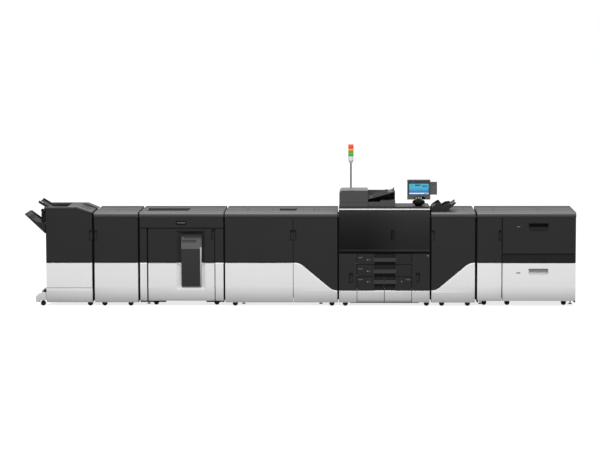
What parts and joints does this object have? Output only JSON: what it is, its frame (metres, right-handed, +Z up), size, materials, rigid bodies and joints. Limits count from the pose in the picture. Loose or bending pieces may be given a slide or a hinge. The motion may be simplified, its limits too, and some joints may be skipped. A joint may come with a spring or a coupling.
{
  "type": "digital production printer line",
  "caption": "Row of docked floor-standing printer units on casters, with hinged doors, pull-out paper drawers, a scanner with document feeder, a screen console, a signal tower and a sheet tray.",
  "frame": {"origin": "On the floor, at the middle of the row's length and depth", "axes": "+X along the row towards the paper feeder, +Y to the rear, +Z up; the doors face -Y"},
  "size_m": [6.618, 0.908, 1.91],
  "materials": {
    "dark_panel": "satin",
    "light_panel": "satin",
    "gloss_panel": "gloss",
    "lid": "satin",
    "tray_plastic": "satin",
    "black_plastic": "matte",
    "console": "satin",
    "screen": "gloss",
    "lamp": "gloss",
    "steel": "satin",
    "wheel": "matte"
  },
  "bodies": {
    "row_frame": {"finisher_cabinet": "dark_panel", "finisher_top_cover": "lid", "finisher_top_tray": "tray_plastic", "finisher_outrigger": "light_panel", "finisher_fittings": "black_plastic", "relay_cabinet": "dark_panel", "stacker_cabinet": "dark_panel", "dryer_cabinet": "dark_panel", "engine_cabinet": "dark_panel", "engine_trim": "light_panel", "scanner_unit": "lid", "console_neck": "black_plastic", "signal_mast": "light_panel", "signal_lamps": "lamp", "bypass_cabinet": "dark_panel", "bypass_feed_tray": "tray_plastic", "feeder_cabinet": "dark_panel", "unit_lids": "lid", "dark_fascias": "dark_panel", "light_fascias": "light_panel", "rear_panels": "dark_panel", "drawer_rails": "steel", "door_hinges": "steel", "docking_collars": "black_plastic", "caster_wheels": "wheel", "undercarriage": "steel"},
    "stack_tray": {"finisher_stack_tray": "tray_plastic"},
    "finisher_door": {"finisher_door_upper": "dark_panel", "finisher_door_lower": "light_panel"},
    "relay_door": {"relay_door_upper": "dark_panel", "relay_door_lower": "light_panel"},
    "stacker_hood": {"stacker_lid": "lid", "stacker_hood_front": "dark_panel"},
    "stacker_door": {"stacker_door_upper": "dark_panel", "stacker_door_lower": "light_panel", "stacker_column": "gloss_panel"},
    "dryer_left_door": {"dryer_left_door_upper": "dark_panel", "dryer_left_door_lower": "light_panel"},
    "dryer_right_door": {"dryer_right_door_upper": "dark_panel", "dryer_right_door_lower": "light_panel"},
    "engine_cover": {"engine_cover": "gloss_panel"},
    "engine_left_door": {"engine_left_door": "gloss_panel"},
    "engine_right_door": {"engine_right_door": "gloss_panel"},
    "cassette_1": {"cassette_1": "dark_panel"},
    "cassette_2": {"cassette_2": "dark_panel"},
    "cassette_3": {"cassette_3": "dark_panel"},
    "cassette_4": {"cassette_4": "dark_panel"},
    "document_feeder": {"document_feeder": "lid", "document_tray": "lid"},
    "console": {"console_housing": "console", "console_screen": "screen"},
    "bypass_door": {"bypass_door_upper": "dark_panel", "bypass_door_lower": "light_panel"},
    "feeder_door": {"feeder_door_upper": "dark_panel", "feeder_door_lower": "light_panel"},
    "feeder_upper_drawer": {"feeder_upper_drawer": "dark_panel"},
    "feeder_lower_drawer": {"feeder_lower_drawer": "light_panel"}
  },
  "joints": [
    {"name": "finisher_door_hinge", "type": "hinge", "parent": "row_frame", "child": "finisher_door", "pos_m": [-3.036, -0.432, 0.5], "axis": [0, 0, -1], "range_deg": [0, 90]},
    {"name": "stack_tray_lift", "type": "slide", "parent": "row_frame", "child": "stack_tray", "axis": [0, 0, -1], "range_m": [0, 0.47]},
    {"name": "relay_door_hinge", "type": "hinge", "parent": "row_frame", "child": "relay_door", "pos_m": [-1.958, -0.432, 0.5], "axis": [0, 0, 1], "range_deg": [0, 90]},
    {"name": "stacker_hood_hinge", "type": "hinge", "parent": "row_frame", "child": "stacker_hood", "pos_m": [-1.417, 0.414, 1.118], "axis": [-1, 0, 0], "range_deg": [0, 45]},
    {"name": "stacker_door_hinge", "type": "hinge", "parent": "row_frame", "child": "stacker_door", "pos_m": [-1.805, -0.432, 0.5], "axis": [0, 0, -1], "range_deg": [0, 90]},
    {"name": "dryer_left_hinge", "type": "hinge", "parent": "row_frame", "child": "dryer_left_door", "pos_m": [-0.88, -0.432, 0.5], "axis": [0, 0, -1], "range_deg": [0, 90]},
    {"name": "dryer_right_hinge", "type": "hinge", "parent": "row_frame", "child": "dryer_right_door", "pos_m": [0.438, -0.432, 0.5], "axis": [0, 0, 1], "range_deg": [0, 90]},
    {"name": "engine_cover_hinge", "type": "hinge", "parent": "row_frame", "child": "engine_cover", "pos_m": [0.488, -0.432, 0.5], "axis": [0, 0, -1], "range_deg": [0, 90]},
    {"name": "engine_left_hinge", "type": "hinge", "parent": "row_frame", "child": "engine_left_door", "pos_m": [0.488, -0.432, 0.5], "axis": [0, 0, -1], "range_deg": [0, 90]},
    {"name": "engine_right_hinge", "type": "hinge", "parent": "row_frame", "child": "engine_right_door", "pos_m": [1.546, -0.432, 0.5], "axis": [0, 0, 1], "range_deg": [0, 90]},
    {"name": "cassette_1_slide", "type": "slide", "parent": "row_frame", "child": "cassette_1", "axis": [0, -1, 0], "range_m": [0, 0.42]},
    {"name": "cassette_2_slide", "type": "slide", "parent": "row_frame", "child": "cassette_2", "axis": [0, -1, 0], "range_m": [0, 0.42]},
    {"name": "cassette_3_slide", "type": "slide", "parent": "row_frame", "child": "cassette_3", "axis": [0, -1, 0], "range_m": [0, 0.42]},
    {"name": "cassette_4_slide", "type": "slide", "parent": "row_frame", "child": "cassette_4", "axis": [0, -1, 0], "range_m": [0, 0.42]},
    {"name": "document_feeder_hinge", "type": "hinge", "parent": "row_frame", "child": "document_feeder", "pos_m": [0.812, 0.054, 1.2153], "axis": [-1, 0, 0], "range_deg": [0, 60]},
    {"name": "console_tilt", "type": "hinge", "parent": "row_frame", "child": "console", "pos_m": [1.43, -0.267, 1.31], "axis": [-1, 0, 0], "range_deg": [0, 25]},
    {"name": "bypass_door_hinge", "type": "hinge", "parent": "row_frame", "child": "bypass_door", "pos_m": [2.086, -0.432, 0.5], "axis": [0, 0, 1], "range_deg": [0, 90]},
    {"name": "feeder_door_hinge", "type": "hinge", "parent": "row_frame", "child": "feeder_door", "pos_m": [2.144, -0.432, 0.5], "axis": [0, 0, -1], "range_deg": [0, 90]},
    {"name": "feeder_upper_slide", "type": "slide", "parent": "row_frame", "child": "feeder_upper_drawer", "axis": [0, -1, 0], "range_m": [0, 0.6]},
    {"name": "feeder_lower_slide", "type": "slide", "parent": "row_frame", "child": "feeder_lower_drawer", "axis": [0, -1, 0], "range_m": [0, 0.6]}
  ]
}
